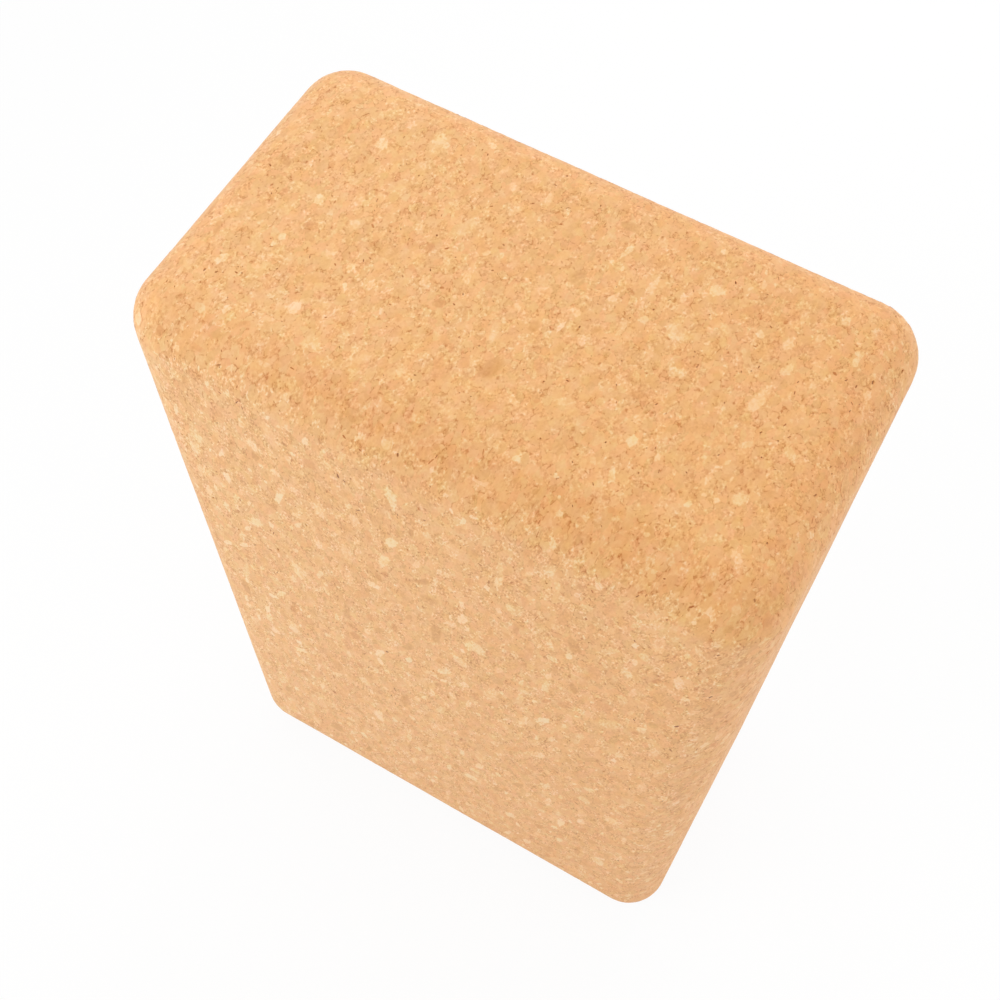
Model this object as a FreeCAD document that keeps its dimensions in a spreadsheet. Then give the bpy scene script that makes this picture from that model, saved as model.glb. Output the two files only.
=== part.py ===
"""A cork yoga block: one piece of pressed cork, cut square and rounded along all of its edges.

The block stands on one end, the tallest of the three ways in which it is used. X runs across its
width, Y through its thickness and Z up its length. The origin is the middle of the end that it
stands on. All sizes are in millimetres.
"""
import FreeCAD, Part
import os
import Sketcher

SHEET_NAME = "dimensions"
BLOCK_NAME = "cork_block"

# Each row is the alias of a driving dimension, its size and what it measures
DRIVING_DIMENSIONS = (
    ("block_length", 225.0, "long side, upright when the block stands on its end"),
    ("block_width", 140.0, "middle side, across the broad faces"),
    ("block_thickness", 80.0, "short side, which a hand spans to grip the block"),
    ("edge_radius", 11.5, "rounding of all twelve edges, which leaves ball corners"),
)

# How a sketch numbers the two ends of a line, and its own origin as a line and a point on it
START = 1
END = 2
SKETCH_ORIGIN = (-1, 1)


def make_sheet(doc):
    """Puts the driving dimensions in a spreadsheet, one row each: name, size, meaning."""
    sheet = doc.addObject("Spreadsheet::Sheet", SHEET_NAME)
    for row, (alias, size, meaning) in enumerate(DRIVING_DIMENSIONS, start=1):
        sheet.set(f"A{row}", alias)
        sheet.set(f"B{row}", str(size))
        sheet.set(f"C{row}", meaning)
        sheet.setAlias(f"B{row}", alias)
    doc.recompute()


def origin_plane(body, role):
    """Gives one of the body's own origin planes, such as XY_Plane."""
    return next(plane for plane in body.Origin.OriginFeatures if plane.Role == role)


def centred_rectangle(sketch, width_alias, depth_alias):
    """Draws a rectangle about the sketch's origin and binds its two sides to the sheet."""
    corners = (
        FreeCAD.Vector(-1, -1, 0),
        FreeCAD.Vector(1, -1, 0),
        FreeCAD.Vector(1, 1, 0),
        FreeCAD.Vector(-1, 1, 0),
    )
    front, right, back, left = (
        sketch.addGeometry(Part.LineSegment(corner, corners[(index + 1) % len(corners)]))
        for index, corner in enumerate(corners)
    )
    for edge, following in ((front, right), (right, back), (back, left), (left, front)):
        sketch.addConstraint(Sketcher.Constraint("Coincident", edge, END, following, START))
    for edge in (front, back):
        sketch.addConstraint(Sketcher.Constraint("Horizontal", edge))
    for edge in (right, left):
        sketch.addConstraint(Sketcher.Constraint("Vertical", edge))
    sketch.addConstraint(
        Sketcher.Constraint("Symmetric", front, START, back, START, *SKETCH_ORIGIN)
    )
    sides = (("width", "DistanceX", front, width_alias), ("depth", "DistanceY", right, depth_alias))
    for name, kind, edge, alias in sides:
        drawn_size = sketch.Geometry[edge].length()
        index = sketch.addConstraint(Sketcher.Constraint(kind, edge, START, edge, END, drawn_size))
        sketch.renameConstraint(index, name)
        sketch.setExpression(f"Constraints.{name}", f"{SHEET_NAME}.{alias}")


def make_block(doc):
    """Builds the block: its end outline, padded to full length, then rounded on every edge."""
    body = doc.addObject("PartDesign::Body", BLOCK_NAME)
    body.Label = BLOCK_NAME

    outline = body.newObject("Sketcher::SketchObject", "end_outline")
    outline.AttachmentSupport = [(origin_plane(body, "XY_Plane"), "")]
    outline.MapMode = "FlatFace"
    centred_rectangle(outline, "block_width", "block_thickness")

    slab = body.newObject("PartDesign::Pad", "squared_block")
    slab.Profile = outline
    slab.setExpression("Length", f"{SHEET_NAME}.block_length")
    doc.recompute()

    rounding = body.newObject("PartDesign::Fillet", "rounded_edges")
    rounding.Base = (slab, [""])
    rounding.UseAllEdges = True
    rounding.setExpression("Radius", f"{SHEET_NAME}.edge_radius")
    body.Tip = rounding
    doc.recompute()
    return body


def check(doc, bodies):
    """Stops the build if any object failed or any sub-part has no sound solid."""
    for item in doc.Objects:
        failed = {"Invalid", "Error"} & set(item.State)
        if failed:
            raise RuntimeError(f"{item.Label} is {', '.join(sorted(failed))}")
    for body in bodies:
        if body.Shape.isNull() or not body.Shape.isValid() or len(body.Shape.Solids) != 1:
            raise RuntimeError(f"{body.Label} is not one sound solid")


def export(bodies):
    """Writes each sub-part to a STEP file that its label names."""
    os.makedirs("parts", exist_ok=True)
    for body in bodies:
        body.Shape.exportStep(f"parts/{body.Label}.step")


def main():
    doc = FreeCAD.newDocument("yoga_block")
    make_sheet(doc)
    bodies = [make_block(doc)]
    check(doc, bodies)
    export(bodies)


main()
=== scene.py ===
"""Dresses the yoga block as pressed cork, then lights it and frames it as the photograph does.

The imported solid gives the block's size. Its skin is rebuilt as three pieces: the body, whose surface is
pitted with pores, the cork chips that lie flush in it, and the dark flecks of bark among them. Lengths
are in metres.
"""
import itertools
import math
from dataclasses import dataclass
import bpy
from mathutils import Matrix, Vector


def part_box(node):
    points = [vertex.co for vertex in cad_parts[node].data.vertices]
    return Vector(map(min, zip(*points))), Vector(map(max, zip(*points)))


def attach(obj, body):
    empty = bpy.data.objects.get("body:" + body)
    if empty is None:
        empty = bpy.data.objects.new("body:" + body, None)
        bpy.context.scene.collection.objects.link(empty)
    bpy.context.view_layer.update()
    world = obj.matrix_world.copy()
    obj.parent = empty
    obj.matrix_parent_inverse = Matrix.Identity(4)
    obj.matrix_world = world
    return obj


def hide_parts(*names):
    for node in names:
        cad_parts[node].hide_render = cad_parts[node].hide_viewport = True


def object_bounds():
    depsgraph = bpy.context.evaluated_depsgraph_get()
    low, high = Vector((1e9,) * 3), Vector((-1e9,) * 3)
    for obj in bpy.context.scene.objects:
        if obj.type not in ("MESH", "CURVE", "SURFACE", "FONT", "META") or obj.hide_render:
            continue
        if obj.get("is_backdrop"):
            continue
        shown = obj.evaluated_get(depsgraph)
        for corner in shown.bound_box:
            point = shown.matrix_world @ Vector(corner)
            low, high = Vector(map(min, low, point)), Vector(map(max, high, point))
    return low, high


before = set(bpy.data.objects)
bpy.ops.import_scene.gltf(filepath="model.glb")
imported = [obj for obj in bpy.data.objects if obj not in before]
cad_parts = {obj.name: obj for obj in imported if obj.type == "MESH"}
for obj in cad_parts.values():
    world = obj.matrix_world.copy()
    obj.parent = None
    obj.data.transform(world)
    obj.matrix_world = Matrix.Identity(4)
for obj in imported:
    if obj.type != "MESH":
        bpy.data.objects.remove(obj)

from types import SimpleNamespace

import bpy
import numpy as np
from mathutils import Matrix, Vector
from mathutils.geometry import delaunay_2d_cdt

CAD_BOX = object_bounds()
NODE = "cork_block"
BODY = "root"
SEED = 20

MM = 0.001
SQUARE_MM = MM * MM

# Points nearer than this count as one
SAME_PLACE = 0.001 * MM

# Axes of the row frame
X, Y, Z = 0, 1, 2


# The block's skin as six sides, each laid out flat


def block_size():
    """Gives the block's centre, half sizes and edge radius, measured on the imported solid."""
    low, high = (np.array(corner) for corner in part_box(NODE))
    vertices = np.array([vertex.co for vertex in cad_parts[NODE].data.vertices])
    on_top = vertices[:, Z] > high[Z] - SAME_PLACE
    radius = high[X] - vertices[on_top, X].max()
    return (high + low) / 2, (high - low) / 2, radius


CENTRE, HALF, RADIUS = block_size()


@dataclass(frozen=True)
class Side:
    """One face of the block with the near half of each rounding beside it, laid out flat.

    The map's two axes run across and up the face, and across x up points outwards. On the roundings the
    map follows the arc, so neighbouring sides meet half way round each edge.
    """

    normal: int
    sign: int
    across: int
    up: int

    def flat(self):
        """Gives half the width and height of the face's flat part."""
        return HALF[[self.across, self.up]] - RADIUS

    def span(self):
        """Gives half the width and height of the whole map."""
        return self.flat() + RADIUS * math.pi / 4

    def skin(self, places, heights=0.0):
        """Gives the points of the block at these places of the map, and their outward normals."""
        places = np.asarray(places, float).reshape(-1, 2)
        held = np.clip(places, -self.flat(), self.flat())
        normals = np.zeros((len(places), 3))
        normals[:, self.normal] = self.sign
        normals[:, [self.across, self.up]] = np.tan((places - held) / RADIUS)
        normals /= np.linalg.norm(normals, axis=1)[:, None]
        core = np.tile(CENTRE, (len(places), 1))
        core[:, self.normal] += self.sign * (HALF[self.normal] - RADIUS)
        core[:, [self.across, self.up]] += held
        rise = RADIUS + np.broadcast_to(heights, len(places))
        return core + normals * rise[:, None], normals


SIDES = (
    Side(Z, 1, X, Y),
    Side(Z, -1, Y, X),
    Side(Y, -1, X, Z),
    Side(Y, 1, Z, X),
    Side(X, 1, Y, Z),
    Side(X, -1, Z, Y),
)

# Room between the sides on the texture sheet
SHEET_GAP = 6 * MM


def sheet_layout():
    """Lays the six sides out on one square sheet, and gives each one's corner and turn, and the width."""
    top, _, front, _, right, _ = (2 * side.span() for side in SIDES)
    broad_width, tall = front
    narrow_width = right[0]
    row = tall + 2 * SHEET_GAP
    corners = (
        ((SHEET_GAP, row + narrow_width + SHEET_GAP), False),
        ((tall + 2 * SHEET_GAP, row), False),
        ((SHEET_GAP, SHEET_GAP), False),
        ((broad_width + 2 * SHEET_GAP, SHEET_GAP), True),
        ((2 * broad_width + 3 * SHEET_GAP, SHEET_GAP), False),
        ((SHEET_GAP, row), False),
    )
    width = max(
        2 * broad_width + narrow_width + 4 * SHEET_GAP,
        row + narrow_width + top[1] + 2 * SHEET_GAP,
    )
    return corners, width


SHEET, SHEET_WIDTH = sheet_layout()


def on_sheet(number, places):
    """Gives the texture coordinates of places on a side's map."""
    (left, low), turned = SHEET[number]
    span = SIDES[number].span()
    local = places + span
    if turned:
        local = np.stack([local[:, 1], 2 * span[0] - local[:, 0]], 1)
    return (local + (left, low)) / SHEET_WIDTH


# Chips, flecks and pores, scattered over the skin


@dataclass(frozen=True)
class Grain:
    """A patch of the skin: its side, its middle and outline on the side's map, its lightness and its hue."""

    side: int
    middle: np.ndarray
    outline: np.ndarray
    step: float
    hue: float


@dataclass(frozen=True)
class Kind:
    """How the grains of one kind are drawn.

    The count is of grains to try, and those that find no room are left out. Areas spread about a median,
    up to the most. Outlines are drawn out by a stretch and have a few uneven corners. The broad share thins
    grains out on the broad faces, and the rim gap keeps them off the seams between sides.
    """

    count: int
    area: float
    spread: float
    most: float
    stretch: tuple
    corners: tuple
    unevenness: float
    broad_share: float
    rim_gap: float = 0.0


CHIPS = Kind(
    count=9500,
    area=3.2 * SQUARE_MM,
    spread=0.92,
    most=32 * SQUARE_MM,
    stretch=(1.0, 2.4),
    corners=(6, 9),
    unevenness=0.3,
    broad_share=1.0,
)
FLECKS = Kind(
    count=5000,
    area=0.22 * SQUARE_MM,
    spread=0.75,
    most=1.6 * SQUARE_MM,
    stretch=(1.6, 6.0),
    corners=(5, 7),
    unevenness=0.25,
    broad_share=0.65,
)
PORES = Kind(
    count=2200,
    area=0.13 * SQUARE_MM,
    spread=0.7,
    most=1.0 * SQUARE_MM,
    stretch=(1.2, 3.2),
    corners=(6, 8),
    unevenness=0.16,
    broad_share=0.4,
    rim_gap=0.5 * MM,
)

# The granules are squeezed along the block's width and lie nearly lengthwise: their sizes along X, Y and Z,
# how far they lean to the right, and both together as one change of shape
SQUEEZE = np.array([0.78, 1.0, 1.65])
LEAN = math.radians(10)
DRAWN = np.array(Matrix.Rotation(LEAN, 3, "Y")) * SQUEEZE

# How many lightness steps (of 255) pale chips, amber chips and bark flecks lie from plain cork: the least,
# the mean beyond that, and the most
PALE_STEPS = (6.0, 5.2, 17.0)
AMBER_STEPS = (2.0, 4.5, 15.0)
BARK_STEPS = (12.0, 19.0, 75.0)
PALE_SHARE = 0.55


class Scatter:
    """Places grains at random on the skin, each clear of all those placed before it.

    The outlines are drawn out after that, so long grains may touch.
    """

    # The cell of the search, the least gap between grains, how many spots a grain tries and how many are
    # drawn at once, and how far a corner strays along its outline, as a share of the way to the next one
    CELL = 2.5 * MM
    GAP = 0.1 * MM
    TRIES = 30
    BATCH = 20000
    CORNER_PLAY = 0.32

    def __init__(self, rng):
        self.rng = rng
        self.taken = {}
        self.widest = 0.0

    def candidates(self, broad_share):
        """Gives random spots on the skin without end: the side, the place on its map, and the point."""
        spans = np.array([side.span() for side in SIDES])
        shares = spans.prod(1) * [broad_share if side.normal == Y else 1.0 for side in SIDES]
        while True:
            numbers = self.rng.choice(len(SIDES), self.BATCH, p=shares / shares.sum())
            places = self.rng.uniform(-1, 1, (self.BATCH, 2)) * spans[numbers]
            points = np.empty((self.BATCH, 3))
            for number, side in enumerate(SIDES):
                here = numbers == number
                points[here] = side.skin(places[here])[0]
            yield from zip(numbers.tolist(), places, points.tolist())

    def is_free(self, point, reach):
        """Tells whether a grain of this reach would clear its neighbours."""
        limit = reach + self.widest + self.GAP
        spans = [range(int((c - limit) // self.CELL), int((c + limit) // self.CELL) + 1) for c in point]
        for cell in itertools.product(*spans):
            for other, size in self.taken.get(cell, ()):
                if math.dist(point, other) < reach + size + self.GAP:
                    return False
        return True

    def take(self, point, reach):
        """Marks a spot as taken, in the cell of space that it lies in."""
        cell = tuple(int(c // self.CELL) for c in point)
        self.taken.setdefault(cell, []).append((point, reach))
        self.widest = max(self.widest, reach)

    def outline(self, kind, area):
        """Draws an uneven polygon of about this area about the origin, drawn out and turned at random."""
        fewest, most = kind.corners
        share = math.sqrt(area / kind.most)
        corners = round(fewest + (most - fewest) * share + self.rng.uniform(-0.5, 0.5))
        play = self.rng.uniform(-self.CORNER_PLAY, self.CORNER_PLAY, corners)
        turns = (np.arange(corners) + play) * 2 * math.pi / corners
        swell = self.rng.uniform(-kind.unevenness, kind.unevenness, corners)
        radii = math.sqrt(area / math.pi) * (1 + swell)
        points = np.stack([np.cos(turns), np.sin(turns)], 1) * radii[:, None]
        stretch = math.sqrt(self.rng.uniform(*kind.stretch))
        points *= (stretch, 1 / stretch)
        slant = self.rng.uniform(0, math.pi)
        cosine, sine = math.cos(slant), math.sin(slant)
        return points @ np.array([[cosine, sine], [-sine, cosine]])

    def place(self, kind, steps):
        """Places grains of one kind, the largest first, and gives those that found room."""
        areas = kind.area * np.exp(self.rng.normal(0, kind.spread, kind.count))
        spots = self.candidates(kind.broad_share)
        grains = []
        for area, step in zip(np.sort(np.minimum(areas, kind.most))[::-1], steps):
            outline = self.outline(kind, area)
            reach = np.linalg.norm(outline, axis=1).max()
            for number, place, point in itertools.islice(spots, self.TRIES):
                side = SIDES[number]
                if kind.rim_gap and (np.abs(place) > side.span() - reach - kind.rim_gap).any():
                    continue
                if self.is_free(point, reach):
                    self.take(point, reach)
                    axes = [side.across, side.up]
                    drawn = outline @ DRAWN[np.ix_(axes, axes)].T
                    grains.append(Grain(number, place, place + drawn, step, self.rng.uniform()))
                    break
        return grains


def scatter_grains():
    """Places the chips, then the flecks and pores in the room that is left."""
    rng = np.random.default_rng(SEED)
    scatter = Scatter(rng)

    def steps(count, least, mean, most):
        return np.minimum(least + rng.exponential(mean, count), most)

    pale = rng.uniform(size=CHIPS.count) < PALE_SHARE
    shifts = np.where(pale, steps(CHIPS.count, *PALE_STEPS), -steps(CHIPS.count, *AMBER_STEPS))
    chips = scatter.place(CHIPS, shifts)
    flecks = scatter.place(FLECKS, -steps(FLECKS.count, *BARK_STEPS))
    pores = scatter.place(PORES, np.zeros(PORES.count))
    return chips, flecks, pores


# The unevenness and the finish of the skin

# The unevenness is a sum of waves: how many, how high and how long
WAVES = 7
WAVE_HEIGHT = 0.035 * MM
WAVE_LENGTHS = (18 * MM, 70 * MM)

# How a point's normal tells where it lies: the broad faces, with their own grain and a painted sheen, come
# in as the normal turns to Y, and an end's rim, with its painted shade, comes in where the normal leaves Z
# and goes out further round the edge
PRESSED_FROM, PRESSED_TO = 0.68, 0.9
RIM_SHADE_FROM, RIM_SHADE_TO = 0.0, 0.04
RIM_SHADE_GONE, RIM_SHADE_FADING = 0.45, 0.8


def make_waves():
    """Gives a smooth unevenness of the skin, as heights at points of the block."""
    rng = np.random.default_rng(SEED + 1)
    ways = rng.normal(size=(WAVES, 3))
    ways /= np.linalg.norm(ways, axis=1)[:, None]
    ways *= 2 * math.pi / rng.uniform(*WAVE_LENGTHS, WAVES)[:, None]
    starts = rng.uniform(0, 2 * math.pi, WAVES)
    return lambda points: WAVE_HEIGHT * np.sin(points @ ways.T + starts).sum(1) / math.sqrt(WAVES)


waves = make_waves()


def lift(side, places, heights=0.0):
    """Gives points of the finished skin, with its unevenness, and the normals of the plain block."""
    points, normals = side.skin(places)
    return side.skin(places, heights + waves(points))[0], normals


def smooth_step(low, high, values):
    """Gives how far values have gone from low to high, from 0 to 1, with soft ends."""
    share = np.clip((values - low) / (high - low), 0, 1)
    return share * share * (3 - 2 * share)


def skin_values(normals):
    """Gives how far points belong to the pressed broad faces, and to the rims of the two ends, where shade
    is painted.
    """
    upright = np.abs(normals[:, Z])
    pressed = smooth_step(PRESSED_FROM, PRESSED_TO, np.abs(normals[:, Y]))
    rim = smooth_step(RIM_SHADE_FROM, RIM_SHADE_TO, 1 - upright) * smooth_step(RIM_SHADE_GONE, RIM_SHADE_FADING, upright)
    return {"pressed": pressed, "rim": rim}


# The meshes

# The spacing of the body's points, how far they are shaken for that spacing, and how near two of them may
# come on a map in millimetres before the triangulation takes them for one
FILL_STEP = 1.6 * MM
FILL_JITTER = 0.28
TRIANGLE_TOLERANCE = 1e-7

# A pore's depth, the most of it for each unit of the pore's least radius, how evenly deep and how long its
# floor is, and the room that the body's mesh leaves round it
PORE_DEPTH = (0.16 * MM, 0.5 * MM)
PORE_STEEPNESS = 1.6
PORE_EVENNESS = (0.7, 1.0)
PORE_FLOOR = 0.45
PORE_CLEAR = 0.45 * MM

# How far a chip's or fleck's middle stands proud, how deep its root reaches for its size, how firmly it
# covers the cork about it, and the strip of the texture sheet beside its rim that its root takes
GRAIN_RISE = 0.02 * MM
GRAIN_ROOT = 0.7
CHIP_COVER = 1.0
FLECK_COVER = 2.5
ROOT_STRIP = 0.05 * MM


def make_object(name, mesh, material):
    """Puts a mesh with its material into the scene."""
    piece = bpy.data.objects.new(name, mesh)
    bpy.context.scene.collection.objects.link(piece)
    mesh.materials.append(material)
    return piece


def make_mesh(name, points, faces, sheet, smooth, values):
    """Makes a mesh of triangles with texture coordinates for each corner and named values for each point."""
    mesh = bpy.data.meshes.new(name)
    mesh.from_pydata(points.tolist(), [], faces.tolist())
    mesh.polygons.foreach_set("use_smooth", smooth)
    edges = np.empty(len(mesh.loops), np.int32)
    mesh.loops.foreach_get("edge_index", edges)
    sharp = np.zeros(len(mesh.edges), bool)
    sharp[edges.reshape(faces.shape)[~smooth].ravel()] = True
    mesh.attributes.new("sharp_edge", "BOOLEAN", "EDGE").data.foreach_set("value", sharp)
    layer = mesh.uv_layers.new(name="OFBake")
    layer.data.foreach_set("uv", sheet.astype(np.float32).ravel())
    for title, numbers in values.items():
        attribute = mesh.attributes.new(title, "FLOAT", "POINT")
        attribute.data.foreach_set("value", numbers.astype(np.float32))
    mesh.validate()
    mesh.update()
    return mesh


def border_places(span):
    """Gives evenly spaced places round the rim of a map."""
    rims = []
    for axis in (0, 1):
        steps = round(2 * span[axis] / FILL_STEP)
        along = np.linspace(-span[axis], span[axis], steps + 1)
        for sign in (-1, 1):
            rim = np.empty((len(along), 2))
            rim[:, axis] = along
            rim[:, 1 - axis] = sign * span[1 - axis]
            rims.append(rim if axis else rim[1:-1])
    return np.concatenate(rims)


def fill_places(rng, span, blocked, clearances):
    """Gives a shaken triangular grid of places over a map, clear of its rim and of the blocked places."""
    rise = FILL_STEP * math.sqrt(3) / 2
    rows = int(2 * span[1] / rise)
    columns = int(2 * span[0] / FILL_STEP)
    row, column = np.meshgrid(np.arange(1, rows), np.arange(1, columns), indexing="ij")
    grid = np.stack([(column + row % 2 / 2) * FILL_STEP, row * rise], -1).reshape(-1, 2) - span
    grid += rng.uniform(-FILL_JITTER, FILL_JITTER, grid.shape) * FILL_STEP
    clear = (np.abs(grid) < span - FILL_STEP / 2).all(1)
    for middle, clearance in zip(blocked, clearances):
        clear &= ((grid - middle) ** 2).sum(1) > clearance**2
    return grid[clear]


def pore_places(rng, pore):
    """Gives a pore's rim and the two ends of its floor, with their heights, which are below the skin."""
    away = pore.outline - pore.middle
    lengths = np.linalg.norm(away, axis=1)
    floor = pore.middle + np.outer((-PORE_FLOOR, PORE_FLOOR), away[lengths.argmax()])
    depth = min(rng.uniform(*PORE_DEPTH), lengths.min() * PORE_STEEPNESS)
    places = np.concatenate([pore.outline, floor])
    heights = np.concatenate([np.zeros(len(pore.outline)), -depth * rng.uniform(*PORE_EVENNESS, len(floor))])
    return places, heights


def body_side(rng, number, pores):
    """Triangulates one side's map round its pores, and gives its places, heights and faces."""
    span = SIDES[number].span()
    here = [pore for pore in pores if pore.side == number]
    middles = [pore.middle for pore in here]
    clearances = [np.linalg.norm(p.outline - p.middle, axis=1).max() + PORE_CLEAR for p in here]
    rim = border_places(span)
    fill = fill_places(rng, span, middles, clearances)
    sunk = [pore_places(rng, pore) for pore in here]
    places = np.concatenate([rim, fill] + [p for p, _ in sunk])
    heights = np.concatenate([np.zeros(len(rim) + len(fill))] + [h for _, h in sunk])
    flat = [Vector(place) for place in (places / MM).tolist()]
    faces = np.array(delaunay_2d_cdt(flat, [], [], 0, TRIANGLE_TOLERANCE, True)[2])
    return places, heights, faces


def make_body(pores, material):
    """Makes the block's body: six triangulated sides, welded along their rims."""
    rng = np.random.default_rng(SEED + 2)
    points, normals, depths, faces, sheet = [], [], [], [], []
    count = 0
    for number, side in enumerate(SIDES):
        places, heights, triangles = body_side(rng, number, pores)
        found, outward = lift(side, places, heights)
        points.append(found)
        normals.append(outward)
        depths.append(-heights)
        faces.append(triangles + count)
        sheet.append(on_sheet(number, places)[triangles.ravel()])
        count += len(places)
    points, normals, depths = np.concatenate(points), np.concatenate(normals), np.concatenate(depths)
    faces, sheet = np.concatenate(faces), np.concatenate(sheet)
    keys = np.round(points / SAME_PLACE).astype(np.int64)
    _, first, shared = np.unique(keys, axis=0, return_index=True, return_inverse=True)
    faces = shared.reshape(-1)[faces]
    points, normals, depths = points[first], normals[first], depths[first]
    in_pore = (depths[faces] > 0).any(1)
    # The pore value paints shade into the pores, fullest at their floors
    values = {**skin_values(normals), "pore": smooth_step(0.0, PORE_DEPTH[0], depths)}
    mesh = make_mesh("cork_body", points, faces, sheet, ~in_pore, values)
    return make_object("cork_body", mesh, material)


def make_grains(name, grains, material, cover):
    """Makes the grains as separate closed pieces: a flush crown on the skin and a root sunk below it."""
    points, normals, faces, sheet, smooth, looks = [], [], [], [], [], []
    count = 0
    for grain in sorted(grains, key=lambda grain: grain.side):
        corners = len(grain.outline)
        middle, tip = corners, corners + 1
        places = np.vstack([grain.outline, grain.middle])
        tops, outward = lift(SIDES[grain.side], places, np.append(np.zeros(corners), GRAIN_RISE))
        size = np.linalg.norm(grain.outline - grain.middle, axis=1).mean()
        points += [tops, tops[middle:] - outward[middle:] * GRAIN_ROOT * size]
        normals += [outward, outward[middle:]]
        rim = np.arange(corners)
        following = np.roll(rim, -1)
        crown = np.stack([rim, following, np.full(corners, middle)], 1)
        root = np.stack([following, rim, np.full(corners, tip)], 1)
        faces += [crown + count, root + count]
        smooth += [np.full(corners, True), np.full(corners, False)]
        strips = (places[rim] + places[following]) / 2
        strips += (strips - grain.middle) * (ROOT_STRIP / size)
        laid = [places[crown], np.stack([places[following], places[rim], strips], 1)]
        sheet.append(on_sheet(grain.side, np.concatenate(laid).reshape(-1, 2)))
        inset = np.zeros(corners + 2)
        inset[middle] = cover
        looks.append(np.column_stack([np.tile((grain.step, grain.hue), (corners + 2, 1)), inset]))
        count += corners + 2
    steps, hues, insets = np.concatenate(looks).T
    mesh = make_mesh(
        name,
        np.concatenate(points),
        np.concatenate(faces),
        np.concatenate(sheet),
        np.concatenate(smooth),
        {**skin_values(np.concatenate(normals)), "step": steps, "hue": hues, "inset": insets},
    )
    return make_object(name, mesh, material)


# The material


def screen_colour(red, green, blue):
    """Gives a linear colour from the 0 to 255 numbers in which it shows on a screen, by the sRGB curve."""
    parts = [number / 255 for number in (red, green, blue)]
    return (*(p / 12.92 if p <= 0.04045 else ((p + 0.055) / 1.055) ** 2.4 for p in parts), 1.0)


@dataclass(frozen=True)
class Layer:
    """A layer of the grain: repeats per millimetre, weight in lightness steps, and fineness of its noise."""

    scale: float
    steps: float = 0.0
    detail: float = 2.0
    roughness: float = 0.5


class Nodes:
    """Short ways to add shader nodes to a material or world and link them."""

    MIX_SHARE, MIX_FIRST, MIX_SECOND = 0, 6, 7
    MIX_RESULT = 2

    def __init__(self, owner):
        owner.use_nodes = True
        self.tree = owner.node_tree
        self.tree.nodes.clear()

    def add(self, kind, settings=None, **inputs):
        """Adds a node with these settings, and with these values at its named inputs."""
        node = self.tree.nodes.new("ShaderNode" + kind)
        for key, value in (settings or {}).items():
            setattr(node, key, value)
        for key, value in inputs.items():
            self.join(value, node.inputs[key.replace("_", " ")])
        return node

    def join(self, value, socket):
        """Links an output to a socket, or sets the socket to a plain value."""
        if isinstance(value, bpy.types.NodeSocket):
            self.tree.links.new(value, socket)
        else:
            socket.default_value = value

    def feed(self, kind, settings, values):
        """Adds a node, gives its inputs these values in order, and gives its first output."""
        node = self.add(kind, settings)
        for value, socket in zip(values, node.inputs):
            self.join(value, socket)
        return node.outputs[0]

    def maths(self, operation, *values):
        return self.feed("Math", {"operation": operation}, values)

    def shift(self, places, change):
        return self.feed("VectorMath", {"operation": "ADD"}, (places, change))

    def mix_shaders(self, share, first, second):
        return self.feed("MixShader", {}, (share, first, second))

    def total(self, *terms):
        """Adds up (weight, value) terms, each value counted from one half."""
        found = 0.0
        for weight, value in terms:
            found = self.maths("ADD", found, self.maths("MULTIPLY_ADD", value, weight, -weight / 2))
        return found

    def span(self, value, low, high, smooth=True):
        """Gives how far a value has gone from low to high, from 0 to 1."""
        curve = {"interpolation_type": "SMOOTHSTEP" if smooth else "LINEAR"}
        return self.add("MapRange", curve, Value=value, From_Min=low, From_Max=high).outputs[0]

    def between(self, share, low, high):
        """Gives the value that lies this share of the way from low to high."""
        return self.add("MapRange", Value=share, To_Min=low, To_Max=high).outputs[0]

    def ramp(self, value, stops):
        node = self.add("ValToRGB", Fac=value)
        elements = node.color_ramp.elements
        for position, _ in stops[2:]:
            elements.new(position)
        for element, (position, colour) in zip(elements, stops):
            element.position = position
            element.color = colour
        return node.outputs["Color"]

    def mix(self, share, first, second, blend="MIX"):
        """Mixes two colours, by way of the sockets that a Mix node keeps for them."""
        node = self.add("Mix", {"data_type": "RGBA", "blend_type": blend})
        self.join(share, node.inputs[self.MIX_SHARE])
        self.join(first, node.inputs[self.MIX_FIRST])
        self.join(second, node.inputs[self.MIX_SECOND])
        return node.outputs[self.MIX_RESULT]

    def value_of(self, name):
        return self.add("Attribute", {"attribute_name": name}).outputs["Fac"]

    def split(self, colour):
        return self.add("SeparateColor", Color=colour).outputs

    def noise(self, places, layer):
        """Gives a layer's noise, as Fac and as Color."""
        fineness = {"Detail": layer.detail, "Roughness": layer.roughness}
        return self.add("TexNoise", Vector=places, Scale=layer.scale, **fineness).outputs

    def cells(self, places, layer):
        """Gives three random values for each cell of a three-dimensional mosaic."""
        return self.split(self.add("TexVoronoi", Vector=places, Scale=layer.scale).outputs["Color"])

    def seams(self, places, layer):
        """Gives the distance from the seams of the same mosaic."""
        edges = {"feature": "DISTANCE_TO_EDGE"}
        return self.add("TexVoronoi", edges, Vector=places, Scale=layer.scale).outputs["Distance"]


# Cork's colours from bark to its palest chips, by how many lightness steps (of 255) they lie from plain cork
CORK_COLOURS = (
    (-105, screen_colour(140, 76, 30)),
    (-60, screen_colour(192, 115, 54)),
    (-40, screen_colour(207, 139, 77)),
    (-20, screen_colour(224, 161, 100)),
    (-10, screen_colour(232, 172, 110)),
    (0, screen_colour(240, 182, 121)),
    (8, screen_colour(244, 191, 130)),
    (16, screen_colour(248, 203, 149)),
    (26, screen_colour(250, 214, 167)),
)
DARKEST, PALEST = CORK_COLOURS[0][0], CORK_COLOURS[-1][0]
# A pore's hollow is painted darker towards its floor: painted shade in the hollow
PORE_SHADE_COLOUR = screen_colour(172, 110, 58)

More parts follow.
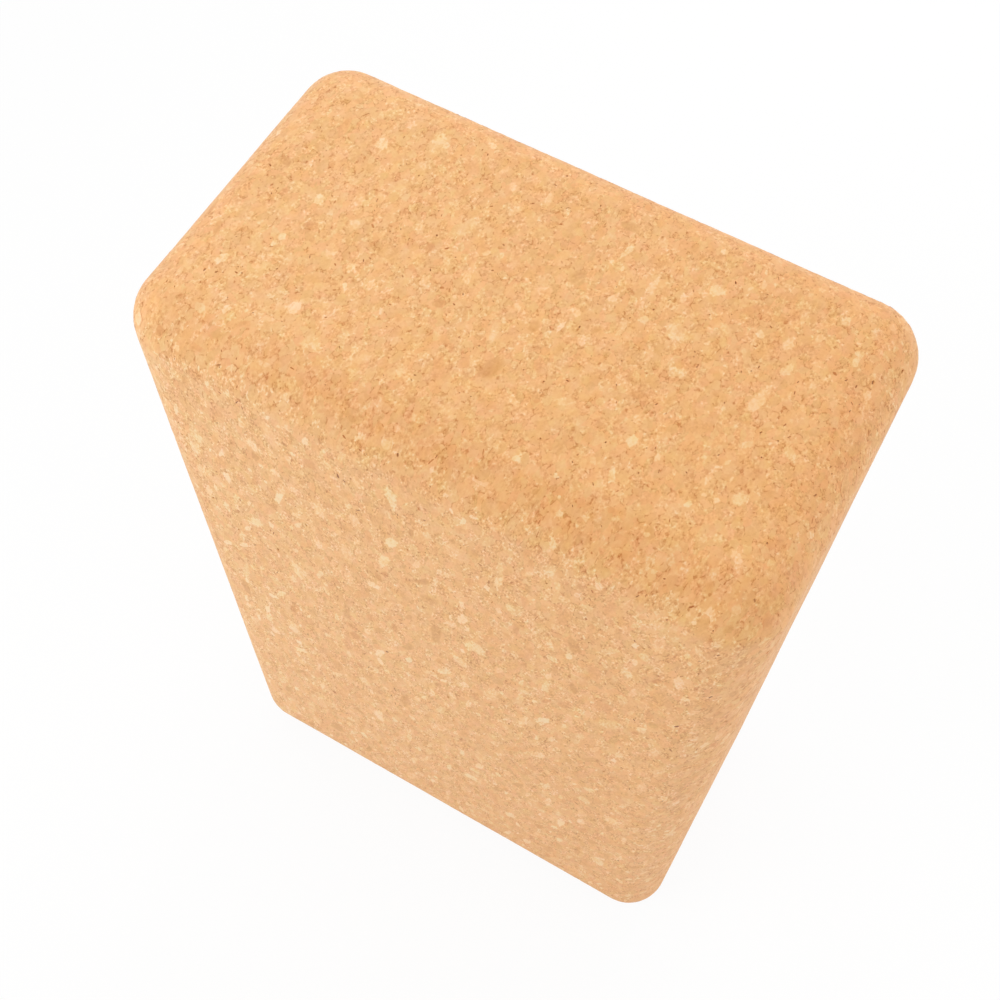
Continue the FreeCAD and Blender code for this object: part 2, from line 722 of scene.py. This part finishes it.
# Tints that the colours are multiplied with: the hue of each granule or chip lies between the first two, and
# that of soft patches between the second two
CREAMY, ROSY = (0.974, 1.016, 1.0, 1.0), (1.026, 0.984, 1.0, 1.0)
YELLOWISH, PINKISH = (1.0, 1.0, 0.8, 1.0), (1.0, 1.0, 1.2, 1.0)

# The block is painted paler on its left side and darker and more orange on its right: painted light
# and shade, for light that falls off from left to right
LIT_LEFT_TINT, SHADED_RIGHT_TINT = (1.0, 1.036, 1.085, 1.0), (0.972, 0.942, 0.893, 1.0)
# The rims of the ends are painted a little deeper: painted shade, for the less light that reaches the
# roundings
RIM_SHADE_TINT = (1.0, 0.965, 0.945, 1.0)
# The broad faces are painted a little paler: a painted sheen, the pale veil that these faces show when seen
# at a slant
PRESSED_SHEEN_TINT = (1.0, 1.012, 1.01, 1.0)

# The layers of the grain, finest first. Dust lies on the broad faces alone
DUST = Layer(1.85, 84.0)
SPECKLE = Layer(1.6, 95.0, detail=3.0, roughness=0.6)
CRUMB = Layer(1.45, 21.0)
GRANULE = Layer(0.54, 9.5)
MOTTLE = Layer(0.34, 18.0, detail=1.5)
CLOUD = Layer(0.05, 10.0)

# Bends the edges of crumbs and granules
SHAKE = Layer(0.9)

# Speckle and crumbs keep this share of their weight where they lighten the cork, and a few crumbs, picked
# by their random value, darken it by so many steps
PALE_SIDE = 0.78
DARK_CRUMB_STEPS = 16.0
DARK_CRUMB_FROM, DARK_CRUMB_TO = 0.92, 0.95

# Dark fissures follow the seams between granules, break off at random and gather in the darker patches:
# their breaks and weight, their width as a share of a granule, their clustering, and where they break
FISSURE = Layer(1.3, 31.0)
FISSURE_WIDTH = 0.1
FISSURE_CLUSTERING = 0.45
FISSURE_FROM, FISSURE_TO = 0.54, 0.64

# How much the speckle frays the edge of a chip or fleck, and where on the way inwards it starts and is full
CHIP_FRAY = 0.65
CHIP_FROM, CHIP_TO = 0.05, 0.4

# How much of the fine grain is missing inside chips and smooth granules, which their random value picks
CHIP_CALM = 0.45
GRANULE_CALM = 0.7
SMOOTH_FROM, SMOOTH_TO = 0.45, 0.6

# How much bolder chips and flecks are on the broad faces
PRESSED_BOOST = 0.3

# The relief of speckle and crumbs, for fissures one unit deep, and the finish
RELIEF_SPECKLE, RELIEF_CRUMB = 0.6, 0.5
BUMP_STRENGTH = 0.35
BUMP_HEIGHT = 0.06 * MM
SMOOTHEST, ROUGHEST = 0.75, 0.98
SHEEN = 0.17
SHEEN_ROUGHNESS = 0.5


def cork_layers(nodes):
    """Gives the layers of the grain as values over the block, drawn out as the granules are."""
    squeezed = nodes.add(
        "Mapping",
        {"vector_type": "TEXTURE"},
        Vector=nodes.add("TexCoord").outputs["Object"],
        Rotation=(0.0, LEAN, 0.0),
        Scale=MM * SQUEEZE,
    ).outputs[0]
    shaken = nodes.shift(squeezed, nodes.noise(squeezed, SHAKE)["Color"])
    patches = nodes.noise(squeezed, MOTTLE)
    return SimpleNamespace(
        dust=nodes.noise(squeezed, DUST)["Fac"],
        speckle=nodes.noise(squeezed, SPECKLE)["Fac"],
        crumb=nodes.cells(shaken, CRUMB),
        granule=nodes.cells(shaken, GRANULE),
        seam=nodes.seams(shaken, GRANULE),
        breaks=nodes.noise(squeezed, FISSURE)["Fac"],
        mottle=patches["Fac"],
        warmth=nodes.split(patches["Color"])[1],
        cloud=nodes.noise(squeezed, CLOUD)["Fac"],
    )


def grain_cover(nodes, layers):
    """Gives how far chips and flecks cover the cork, from 0 at their frayed edges to 1 inside."""
    frayed = nodes.maths("ADD", nodes.total((CHIP_FRAY, layers.speckle)), nodes.value_of("inset"))
    return nodes.span(frayed, CHIP_FROM, CHIP_TO)


def cork_fissures(nodes, layers, inside):
    """Gives the fissures between granules, which end where chips and flecks begin."""
    breaks = nodes.maths("ADD", layers.breaks, nodes.total((-FISSURE_CLUSTERING, layers.mottle)))
    breaks = nodes.span(breaks, FISSURE_FROM, FISSURE_TO)
    fissure = nodes.maths("MULTIPLY", nodes.span(layers.seam, FISSURE_WIDTH, 0.0), breaks)
    return nodes.maths("MULTIPLY", fissure, nodes.maths("SUBTRACT", 1.0, inside))


def cork_level(nodes, layers, inside, fissure):
    """Gives the cork's lightness, in steps from plain cork, out of all its layers."""
    pressed = nodes.value_of("pressed")
    fine = nodes.total((SPECKLE.steps, layers.speckle), (CRUMB.steps, layers.crumb[0]))
    fine = nodes.maths("MINIMUM", fine, nodes.maths("MULTIPLY", fine, PALE_SIDE))
    dark = nodes.span(layers.crumb[1], DARK_CRUMB_FROM, DARK_CRUMB_TO)
    fine = nodes.maths("MULTIPLY_ADD", dark, -DARK_CRUMB_STEPS, fine)
    fine = nodes.maths("MULTIPLY_ADD", nodes.total((DUST.steps, layers.dust)), pressed, fine)
    calm = nodes.maths("MULTIPLY", nodes.span(layers.granule[2], SMOOTH_FROM, SMOOTH_TO), GRANULE_CALM)
    calm = nodes.maths("MAXIMUM", calm, nodes.maths("MULTIPLY", inside, CHIP_CALM))
    fine = nodes.maths("MULTIPLY", fine, nodes.maths("SUBTRACT", 1.0, calm))
    coarse = nodes.total(
        (GRANULE.steps, layers.granule[0]), (MOTTLE.steps, layers.mottle), (CLOUD.steps, layers.cloud)
    )
    level = nodes.maths("ADD", coarse, fine)
    level = nodes.maths("MULTIPLY_ADD", fissure, -FISSURE.steps, level)
    boldness = nodes.maths("MULTIPLY_ADD", pressed, PRESSED_BOOST, 1.0)
    step = nodes.maths("MULTIPLY", nodes.value_of("step"), boldness)
    return nodes.maths("MULTIPLY_ADD", step, inside, level)


def cork_colour(nodes, layers, inside, level):
    """Gives the colour for this lightness, with the hues of granules and chips, and the painted light, shade
    and sheen across the block.
    """
    stops = [((step - DARKEST) / (PALEST - DARKEST), colour) for step, colour in CORK_COLOURS]
    colour = nodes.ramp(nodes.span(level, DARKEST, PALEST, smooth=False), stops)
    hue = nodes.maths("SUBTRACT", nodes.value_of("hue"), layers.granule[1])
    hue = nodes.maths("MULTIPLY_ADD", hue, inside, layers.granule[1])
    across = nodes.add("SeparateXYZ", Vector=nodes.add("TexCoord").outputs["Object"]).outputs["X"]
    across = nodes.span(across, -HALF[X], HALF[X], smooth=False)
    # The last pair paints light on the block's left side and shade on its right
    pairs = ((hue, CREAMY, ROSY), (layers.warmth, YELLOWISH, PINKISH), (across, LIT_LEFT_TINT, SHADED_RIGHT_TINT))
    for share, first, second in pairs:
        colour = nodes.mix(1.0, colour, nodes.mix(share, first, second), "MULTIPLY")
    # Painted shade on the ends' rims, and a painted sheen on the broad faces
    for name, tint in (("rim", RIM_SHADE_TINT), ("pressed", PRESSED_SHEEN_TINT)):
        colour = nodes.mix(nodes.value_of(name), colour, tint, "MULTIPLY")
    # Painted shade in the pores' hollows
    return nodes.mix(nodes.value_of("pore"), colour, PORE_SHADE_COLOUR)


def cork_material():
    """Agglomerated cork: crumbs and granules of many tans, short dark fissures, chips, bark and pores."""
    material = bpy.data.materials.new("agglomerated_cork")
    nodes = Nodes(material)
    layers = cork_layers(nodes)
    inside = grain_cover(nodes, layers)
    fissure = cork_fissures(nodes, layers, inside)
    level = cork_level(nodes, layers, inside, fissure)
    relief = nodes.total((RELIEF_SPECKLE, layers.speckle), (RELIEF_CRUMB, layers.crumb[0]))
    relief = nodes.maths("SUBTRACT", relief, fissure)
    bump = nodes.add("Bump", Height=relief, Strength=BUMP_STRENGTH, Distance=BUMP_HEIGHT)
    shader = nodes.add(
        "BsdfPrincipled",
        Base_Color=cork_colour(nodes, layers, inside, level),
        Roughness=nodes.between(layers.speckle, SMOOTHEST, ROUGHEST),
        Normal=bump.outputs[0],
        Sheen_Weight=SHEEN,
        Sheen_Roughness=SHEEN_ROUGHNESS,
    )
    nodes.add("OutputMaterial", Surface=shader.outputs[0])
    return material


# The stage: floor, light and camera

WHITE = (1.0, 1.0, 1.0, 1.0)

# How far the floor reaches, its colour, how much of it the camera sees as white, the light from all round,
# where 1 is white, and the width of a lamp
FLOOR_REACH = 4.0
FLOOR_COLOUR = (0.9, 0.9, 0.9, 1.0)
FLOOR_GLOW = 0.92
WORLD_LEVEL = 0.648
LAMP_SIZE = 0.3

# Each lamp's name, place and power
LAMPS = (
    ("back_lamp", (0.0, 0.5, 0.4), 0.91),
    ("back_left_lamp", (-0.3, 0.15, 0.6), 0.38),
    ("front_left_lamp", (-0.25, -0.4, 0.55), 0.93),
    ("low_left_lamp", (-0.32, -0.28, 0.12), 0.27),
    ("right_lamp", (0.4, 0.0, 0.22), 0.36),
    ("back_right_lamp", (0.35, 0.3, 0.5), 0.06),
)

# Where the camera stands, the point its axis passes through, its roll, its lens and its nearest view
CAMERA_PLACE = (72.1 * MM, -141.6 * MM, 445.6 * MM)
CAMERA_AIM = (-11.6 * MM, 13.4 * MM, 112.5 * MM)
CAMERA_ROLL = math.radians(1.49)
CAMERA_LENS = 51.38
SENSOR_WIDTH = 36.0
CAMERA_NEAR = 10 * MM


def facing(place, aim):
    """Gives the turn of a lamp or camera that stands at this place and faces its aim."""
    return (Vector(aim) - Vector(place)).to_track_quat("-Z", "Y")


def make_floor():
    """Makes a wide white floor that keeps a faint shadow where the camera sees it."""
    material = bpy.data.materials.new("floor")
    nodes = Nodes(material)
    path = nodes.add("LightPath").outputs
    seen = nodes.maths("MAXIMUM", path["Is Camera Ray"], path["Is Glossy Ray"])
    seen = nodes.maths("MAXIMUM", seen, path["Is Transmission Ray"])
    matt = nodes.add("BsdfDiffuse", Color=FLOOR_COLOUR).outputs[0]
    glow = nodes.add("Emission", Color=WHITE, Strength=1.0).outputs[0]
    lit = nodes.mix_shaders(nodes.maths("MULTIPLY", seen, FLOOR_GLOW), matt, glow)
    nodes.add("OutputMaterial", Surface=lit)
    mesh = bpy.data.meshes.new("floor")
    corners = [(x * FLOOR_REACH, y * FLOOR_REACH, 0.0) for x, y in ((-1, -1), (1, -1), (1, 1), (-1, 1))]
    mesh.from_pydata(corners, [], [(0, 1, 2, 3)])
    make_object("floor", mesh, material)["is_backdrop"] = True


def make_lamp(name, place, power):
    """Hangs a soft square lamp that faces the middle of the block."""
    lamp = bpy.data.lights.new(name, "AREA")
    lamp.size = LAMP_SIZE
    lamp.energy = power
    piece = bpy.data.objects.new(name, lamp)
    piece.location = place
    piece.rotation_euler = facing(place, CENTRE).to_euler()
    piece.visible_camera = False
    bpy.context.scene.collection.objects.link(piece)


def make_light():
    """Lights the block from all round and by soft lamps, the strongest of them behind and in front left."""
    world = bpy.data.worlds.new("studio")
    bpy.context.scene.world = world
    nodes = Nodes(world)
    level = nodes.between(nodes.add("LightPath").outputs["Is Camera Ray"], WORLD_LEVEL, 1.0)
    sky = nodes.add("Background", Color=WHITE, Strength=level)
    nodes.add("OutputWorld", Surface=sky.outputs[0])
    for name, place, power in LAMPS:
        make_lamp(name, place, power)


def make_camera():
    """Sets the camera where the photograph was taken from."""
    lens = bpy.data.cameras.new("camera")
    lens.lens = CAMERA_LENS
    lens.sensor_width = SENSOR_WIDTH
    lens.clip_start = CAMERA_NEAR
    camera = bpy.data.objects.new("camera", lens)
    look = facing(CAMERA_PLACE, CAMERA_AIM).to_matrix().to_4x4()
    roll = Matrix.Rotation(CAMERA_ROLL, 4, "Z")
    camera.matrix_world = Matrix.Translation(CAMERA_PLACE) @ look @ roll
    bpy.context.scene.collection.objects.link(camera)
    bpy.context.scene.camera = camera


# The whole scene


def make_block():
    """Makes the three pieces of the cork block and seats them on the row's one body."""
    cork = cork_material()
    chips, flecks, pores = scatter_grains()
    body = make_body(pores, cork)
    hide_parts(NODE)
    pieces = (
        body,
        make_grains("cork_chips", chips, cork, CHIP_COVER),
        make_grains("bark_flecks", flecks, cork, FLECK_COVER),
    )
    for piece in pieces:
        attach(piece, BODY)


def write_sizes():
    """Lists the solid's box and the dressed block's box side by side; nothing is written."""
    boxes = {"cad": CAD_BOX, "visual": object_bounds()}
    {name: [list(corner) for corner in box] for name, box in boxes.items()}


bpy.context.scene.view_settings.view_transform = "Standard"
make_block()
make_floor()
make_light()
make_camera()
write_sizes()
